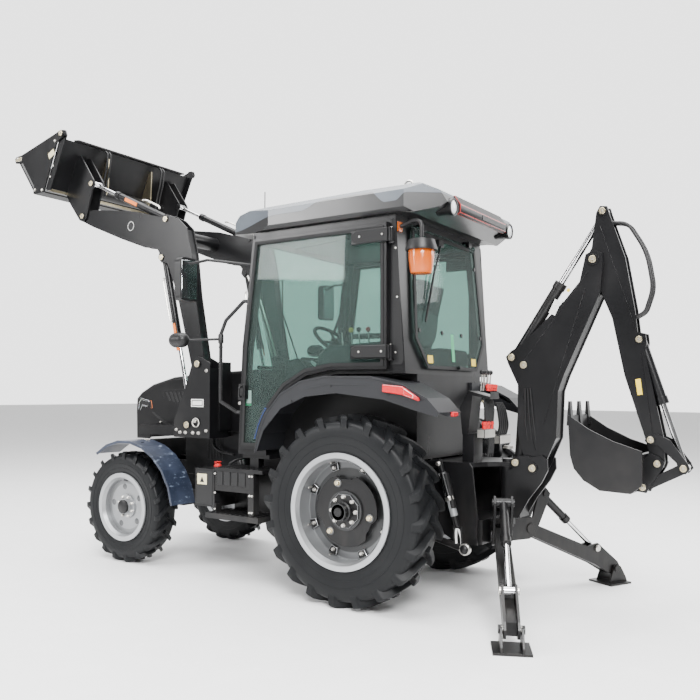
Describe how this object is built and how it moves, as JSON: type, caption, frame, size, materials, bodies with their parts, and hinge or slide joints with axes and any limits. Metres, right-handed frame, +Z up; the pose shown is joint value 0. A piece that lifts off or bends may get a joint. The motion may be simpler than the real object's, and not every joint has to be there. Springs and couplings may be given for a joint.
{
  "type": "backhoe loader",
  "caption": "Compact cab tractor with a raised front loader and split bucket, a folded rear backhoe and two lowered stabilizers.",
  "frame": {"origin": "centre of the whole machine's bounding box at ground level, arms as parked", "axes": "+X to the front of the tractor, +Y to its left, +Z up"},
  "size_m": [5.506, 2.1714, 3.588],
  "materials": {
    "black_paint": "satin",
    "roof_paint": "satin",
    "tyre_rubber": "matte",
    "rim_paint": "satin",
    "cab_glass": "clear",
    "rod_chrome": "polished",
    "fender_plastic": "matte",
    "film_blue": "satin",
    "seat_fabric": "matte",
    "dash_plastic": "matte",
    "lamp_red": "gloss",
    "beacon_amber": "gloss",
    "steel_bare": "satin",
    "engine_iron": "matte"
  },
  "bodies": {
    "tractor": {"chassis_frame": "black_paint", "engine_block": "engine_iron", "axle_housings": "black_paint", "cab_frame": "black_paint", "cab_roof": "roof_paint", "windscreen": "cab_glass", "rear_fenders": "fender_plastic", "lamps": "lamp_red", "operator_seat": "seat_fabric", "dashboard": "dash_plastic", "side_steps": "black_paint", "loader_masts": "black_paint", "mirrors": "black_paint", "beacon_lamp": "beacon_amber", "hitch_links": "steel_bare", "backhoe_frame": "black_paint"},
    "left_knuckle": {"left_knuckle": "black_paint", "front_left_fender": "film_blue"},
    "right_knuckle": {"right_knuckle": "black_paint", "front_right_fender": "film_blue"},
    "front_left_wheel": {"front_left_rim": "rim_paint", "front_left_tyre": "tyre_rubber"},
    "front_right_wheel": {"front_right_rim": "rim_paint", "front_right_tyre": "tyre_rubber"},
    "rear_left_wheel": {"rear_left_rim": "rim_paint", "rear_left_tyre": "tyre_rubber"},
    "rear_right_wheel": {"rear_right_rim": "rim_paint", "rear_right_tyre": "tyre_rubber"},
    "hood": {"hood": "black_paint"},
    "left_door": {"left_door": "black_paint", "left_door_glass": "cab_glass"},
    "right_door": {"right_door": "black_paint", "right_door_glass": "cab_glass"},
    "rear_window": {"rear_window": "cab_glass"},
    "loader_arms": {"loader_arms": "black_paint"},
    "lift_barrels": {"lift_cylinder_barrels": "black_paint"},
    "lift_rods": {"lift_cylinder_rods": "rod_chrome"},
    "tilt_barrels": {"tilt_cylinder_barrels": "black_paint"},
    "tilt_rods": {"tilt_cylinder_rods": "rod_chrome"},
    "loader_bucket": {"loader_bucket_back": "black_paint"},
    "loader_clam": {"loader_bucket_clam": "black_paint"},
    "swing_post": {"swing_post": "black_paint"},
    "boom": {"boom": "black_paint"},
    "dipper": {"dipper": "black_paint"},
    "hoe_bucket": {"hoe_bucket": "black_paint"},
    "guide_link": {"guide_link": "black_paint"},
    "push_link": {"push_link": "black_paint"},
    "boom_cylinder_barrel": {"boom_cylinder_barrel": "black_paint"},
    "boom_cylinder_rod": {"boom_cylinder_rod": "rod_chrome"},
    "dipper_cylinder_barrel": {"dipper_cylinder_barrel": "black_paint"},
    "dipper_cylinder_rod": {"dipper_cylinder_rod": "rod_chrome"},
    "curl_cylinder_barrel": {"curl_cylinder_barrel": "black_paint"},
    "curl_cylinder_rod": {"curl_cylinder_rod": "rod_chrome"},
    "left_stabilizer": {"left_stabilizer": "black_paint"},
    "right_stabilizer": {"right_stabilizer": "black_paint"},
    "left_stabilizer_barrel": {"left_stabilizer_barrel": "black_paint"},
    "left_stabilizer_rod": {"left_stabilizer_rod": "rod_chrome"},
    "right_stabilizer_barrel": {"right_stabilizer_barrel": "black_paint"},
    "right_stabilizer_rod": {"right_stabilizer_rod": "rod_chrome"}
  },
  "joints": [
    {"name": "left_steering", "type": "hinge", "parent": "tractor", "child": "left_knuckle", "pos_m": [1.381, 0.462, 0.445], "axis": [0, 0, 1], "range_deg": [-28, 28]},
    {"name": "right_steering", "type": "hinge", "parent": "tractor", "child": "right_knuckle", "pos_m": [1.381, -0.462, 0.445], "axis": [0, 0, 1], "range_deg": [-28, 28]},
    {"name": "front_left_wheel", "type": "hinge", "parent": "left_knuckle", "child": "front_left_wheel", "pos_m": [1.381, 0.61, 0.445], "axis": [0, 1, 0], "continuous": true},
    {"name": "rear_left_wheel", "type": "hinge", "parent": "tractor", "child": "rear_left_wheel", "pos_m": [-0.819, 0.69, 0.62], "axis": [0, 1, 0], "continuous": true},
    {"name": "front_right_wheel", "type": "hinge", "parent": "right_knuckle", "child": "front_right_wheel", "pos_m": [1.381, -0.61, 0.445], "axis": [0, 1, 0], "continuous": true},
    {"name": "rear_right_wheel", "type": "hinge", "parent": "tractor", "child": "rear_right_wheel", "pos_m": [-0.819, -0.69, 0.62], "axis": [0, 1, 0], "continuous": true},
    {"name": "hood", "type": "hinge", "parent": "tractor", "child": "hood", "pos_m": [0.331, 0, 1.545], "axis": [0, -1, 0], "range_deg": [0, 50]},
    {"name": "left_door", "type": "hinge", "parent": "tractor", "child": "left_door", "pos_m": [-1.095, 0.664, 1.9], "axis": [0, 0, 1], "range_deg": [0, 70]},
    {"name": "right_door", "type": "hinge", "parent": "tractor", "child": "right_door", "pos_m": [-1.095, -0.664, 1.9], "axis": [0, 0, -1], "range_deg": [0, 70]},
    {"name": "rear_window", "type": "hinge", "parent": "tractor", "child": "rear_window", "pos_m": [-1.141, 0, 2.455], "axis": [0, 1, 0], "range_deg": [0, 24]},
    {"name": "loader_lift", "type": "hinge", "parent": "tractor", "child": "loader_arms", "pos_m": [0.691, 0, 1.594], "axis": [0, -1, 0], "range_deg": [-80, 3]},
    {"name": "loader_tilt", "type": "hinge", "parent": "loader_arms", "child": "loader_bucket", "pos_m": [2.083, 0, 2.894], "axis": [0, 1, 0], "range_deg": [-40, 88]},
    {"name": "loader_clam", "type": "hinge", "parent": "loader_bucket", "child": "loader_clam", "pos_m": [2.086, 0, 3.552], "axis": [0, -1, 0], "range_deg": [0, 55]},
    {"name": "hoe_swing", "type": "hinge", "parent": "tractor", "child": "swing_post", "pos_m": [-1.619, 0, 0.7], "axis": [0, 0, -1], "range_deg": [-70, 70]},
    {"name": "hoe_boom", "type": "hinge", "parent": "swing_post", "child": "boom", "pos_m": [-1.819, 0, 0.905], "axis": [0, -1, 0], "range_deg": [-5, 80]},
    {"name": "hoe_dipper", "type": "hinge", "parent": "boom", "child": "dipper", "pos_m": [-2.184, 0, 2.215], "axis": [0, 1, 0], "range_deg": [0, 100]},
    {"name": "hoe_bucket", "type": "hinge", "parent": "dipper", "child": "hoe_bucket", "pos_m": [-2.574, 0, 0.975], "axis": [0, 1, 0], "range_deg": [0, 145]},
    {"name": "lift_cylinder_barrel", "type": "hinge", "parent": "loader_arms", "child": "lift_barrels", "pos_m": [1.113, 0, 2.454], "axis": [0, -1, 0], "range_deg": [-1.16, 18.05]},
    {"name": "lift_cylinder_rod", "type": "slide", "parent": "lift_barrels", "child": "lift_rods", "axis": [-0.2277, 0, -0.9737], "range_m": [-0.53458, 0.02101]},
    {"name": "tilt_cylinder_barrel", "type": "hinge", "parent": "loader_arms", "child": "tilt_barrels", "pos_m": [1.069, 0, 2.755], "axis": [0, -1, 0], "range_deg": [-5.83, 2.92]},
    {"name": "tilt_cylinder_rod", "type": "slide", "parent": "tilt_barrels", "child": "tilt_rods", "axis": [0.9107, 0, 0.4131], "range_m": [-0.15946, 0.34962]},
    {"name": "boom_cylinder_barrel", "type": "hinge", "parent": "swing_post", "child": "boom_cylinder_barrel", "pos_m": [-1.704, 0, 0.935], "axis": [0, -1, 0], "range_deg": [-5.16, 75.01]},
    {"name": "boom_cylinder_rod", "type": "slide", "parent": "boom_cylinder_barrel", "child": "boom_cylinder_rod", "axis": [-0.0629, 0, 0.998], "range_m": [-0.00958, 0.1382]},
    {"name": "dipper_cylinder_barrel", "type": "hinge", "parent": "boom", "child": "dipper_cylinder_barrel", "pos_m": [-1.664, 0, 1.62], "axis": [0, -1, 0], "range_deg": [-12.72, 0.5]},
    {"name": "dipper_cylinder_rod", "type": "slide", "parent": "dipper_cylinder_barrel", "child": "dipper_cylinder_rod", "axis": [-0.5393, 0, 0.8421], "range_m": [-0.4251, 0.001]},
    {"name": "guide_link", "type": "hinge", "parent": "dipper", "child": "guide_link", "pos_m": [-2.534, 0, 1.115], "axis": [0, -1, 0], "range_deg": [-91.67, 0.5]},
    {"name": "push_link", "type": "hinge", "parent": "guide_link", "child": "push_link", "pos_m": [-2.719, 0, 0.955], "axis": [0, -1, 0], "range_deg": [-0.5, 23.47]},
    {"name": "curl_cylinder_barrel", "type": "hinge", "parent": "dipper", "child": "curl_cylinder_barrel", "pos_m": [-2.459, 0, 1.715], "axis": [0, -1, 0], "range_deg": [-10.93, 0.5]},
    {"name": "curl_cylinder_rod", "type": "slide", "parent": "curl_cylinder_barrel", "child": "curl_cylinder_rod", "axis": [-0.3237, 0, -0.9462], "range_m": [-0.332, 0.001]},
    {"name": "left_stabilizer", "type": "hinge", "parent": "tractor", "child": "left_stabilizer", "pos_m": [-1.659, 0.2, 0.47], "axis": [-0.8942, -0.4478, 0], "range_deg": [-65, 0]},
    {"name": "left_stabilizer_cylinder_barrel", "type": "hinge", "parent": "tractor", "child": "left_stabilizer_barrel", "pos_m": [-1.719, 0.31982, 0.7], "axis": [0.8942, 0.4478, 0], "range_deg": [-0.5, 81.05]},
    {"name": "left_stabilizer_cylinder_rod", "type": "slide", "parent": "left_stabilizer_barrel", "child": "left_stabilizer_rod", "axis": [-0.3453, 0.6896, -0.6365], "range_m": [-0.24854, 0.001]},
    {"name": "right_stabilizer", "type": "hinge", "parent": "tractor", "child": "right_stabilizer", "pos_m": [-1.659, -0.2, 0.47], "axis": [-0.8942, 0.4478, 0], "range_deg": [0, 65]},
    {"name": "right_stabilizer_cylinder_barrel", "type": "hinge", "parent": "tractor", "child": "right_stabilizer_barrel", "pos_m": [-1.719, -0.31982, 0.7], "axis": [-0.8942, 0.4478, 0], "range_deg": [-0.5, 81.05]},
    {"name": "right_stabilizer_cylinder_rod", "type": "slide", "parent": "right_stabilizer_barrel", "child": "right_stabilizer_rod", "axis": [-0.3453, -0.6896, -0.6365], "range_m": [-0.24854, 0.001]}
  ],
  "couplings": [
    {"joint": "right_steering", "follows": "left_steering", "ratio": 1},
    {"joint": "lift_cylinder_barrel", "follows": "loader_lift", "ratio": -0.21932},
    {"joint": "lift_cylinder_rod", "follows": "loader_lift", "m_per_rad": 0.38215},
    {"joint": "tilt_cylinder_barrel", "follows": "loader_tilt", "ratio": -0.060519},
    {"joint": "tilt_cylinder_rod", "follows": "loader_tilt", "m_per_rad": 0.22698},
    {"joint": "boom_cylinder_barrel", "follows": "hoe_boom", "ratio": 0.93134},
    {"joint": "boom_cylinder_rod", "follows": "hoe_boom", "m_per_rad": 0.098266},
    {"joint": "dipper_cylinder_barrel", "follows": "hoe_dipper", "ratio": -0.12215},
    {"joint": "dipper_cylinder_rod", "follows": "hoe_dipper", "m_per_rad": -0.24299},
    {"joint": "guide_link", "follows": "hoe_bucket", "ratio": -0.62874},
    {"joint": "push_link", "follows": "hoe_bucket", "ratio": 0.1584},
    {"joint": "curl_cylinder_barrel", "follows": "hoe_bucket", "ratio": -0.071906},
    {"joint": "curl_cylinder_rod", "follows": "hoe_bucket", "m_per_rad": -0.13079},
    {"joint": "left_stabilizer_cylinder_barrel", "follows": "left_stabilizer", "ratio": -1.2393},
    {"joint": "left_stabilizer_cylinder_rod", "follows": "left_stabilizer", "m_per_rad": 0.2182},
    {"joint": "right_stabilizer_cylinder_barrel", "follows": "right_stabilizer", "ratio": 1.2393},
    {"joint": "right_stabilizer_cylinder_rod", "follows": "right_stabilizer", "m_per_rad": -0.2182}
  ]
}
